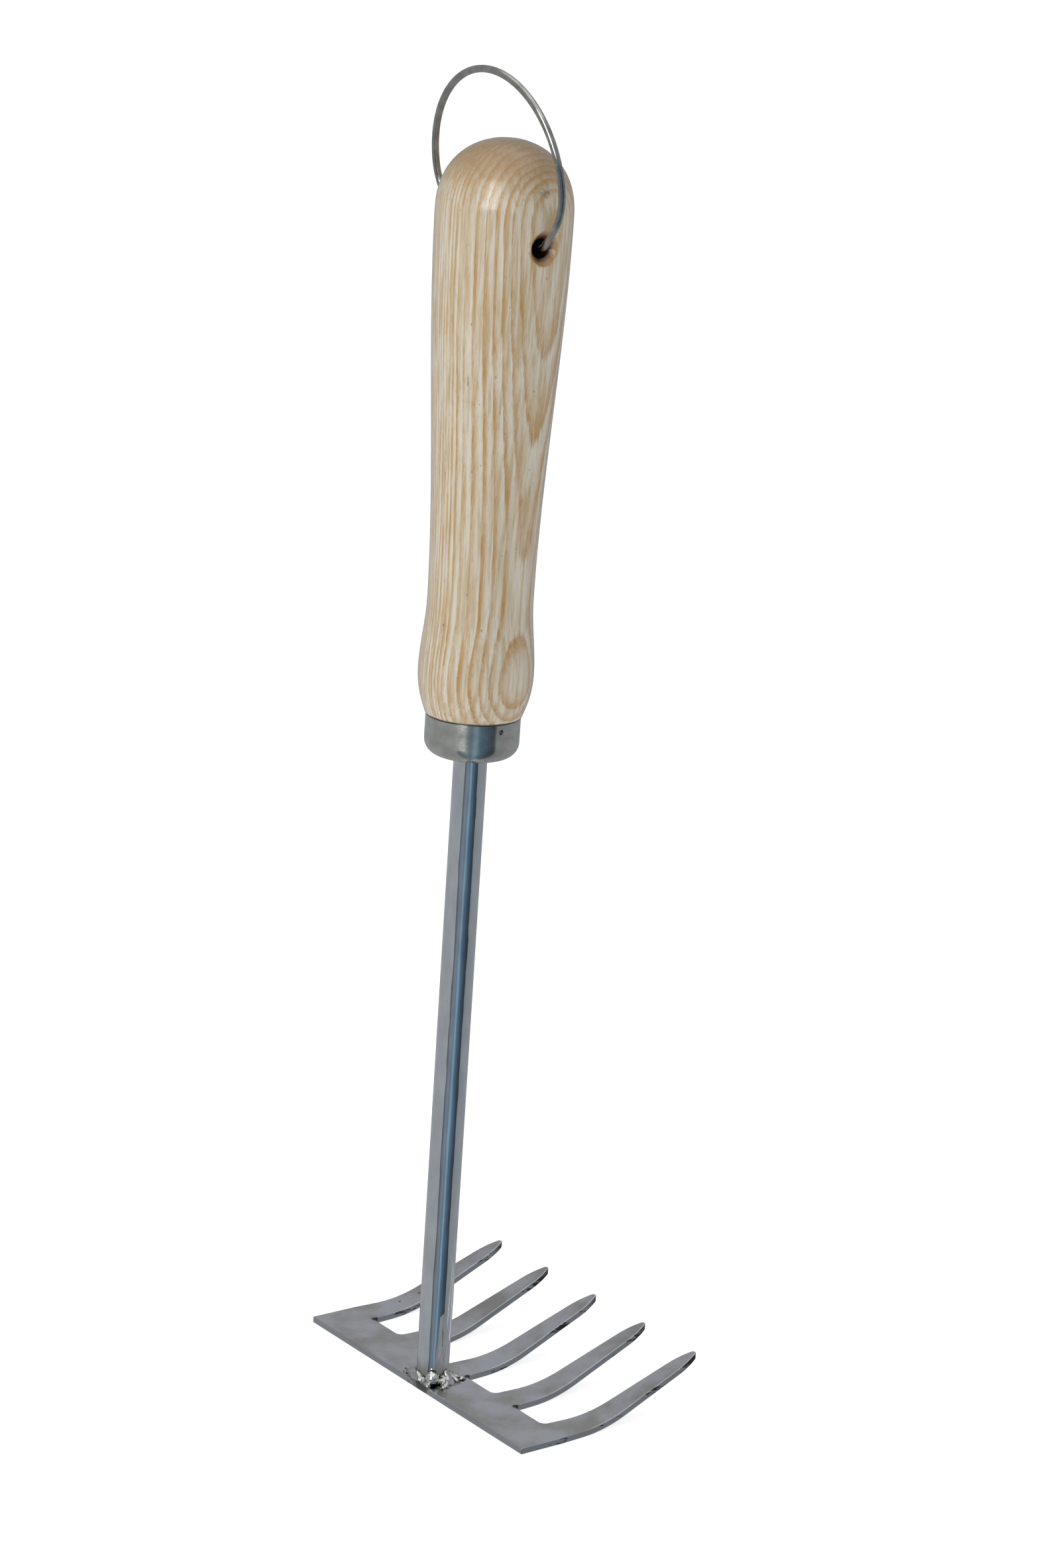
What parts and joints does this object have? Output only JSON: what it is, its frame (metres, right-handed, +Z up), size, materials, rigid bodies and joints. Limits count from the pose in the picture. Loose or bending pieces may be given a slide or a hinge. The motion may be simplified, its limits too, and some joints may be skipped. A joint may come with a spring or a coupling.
{
  "type": "hand rake",
  "caption": "Hand rake with a turned wooden handle, a wire bail to hang it by, a steel ferrule, a round shaft and a short-tined head bent from sheet.",
  "frame": {"origin": "on the shaft's axis at the flat underside of the head, where the shaft's foot is welded above it", "axes": "+Z up the shaft to the handle's end, +X the way the tines point, +Y across the head and along the bail's hinge"},
  "size_m": [0.082, 0.11, 0.4],
  "materials": {
    "polished_sheet": "polished sheet, slightly mottled",
    "weld_metal": "bright lumpy weld with burnt edges",
    "polished_rod": "mirror polished",
    "ferrule_steel": "polished with fine turning lines",
    "pin_steel": "plain",
    "handle_wood": "pale ash under satin lacquer",
    "bail_wire": "polished wire"
  },
  "bodies": {
    "tool": {"rake_head": "polished_sheet", "weld_bead": "weld_metal", "shaft": "polished_rod", "ferrule": "ferrule_steel", "ferrule_pin": "pin_steel", "handle": "handle_wood"},
    "bail": {"bail": "bail_wire"}
  },
  "joints": [
    {"name": "bail_hinge", "type": "hinge", "parent": "tool", "child": "bail", "pos_m": [0, 0, 0.3513], "axis": [0, 1, 0], "range_deg": [-143, 163]}
  ]
}
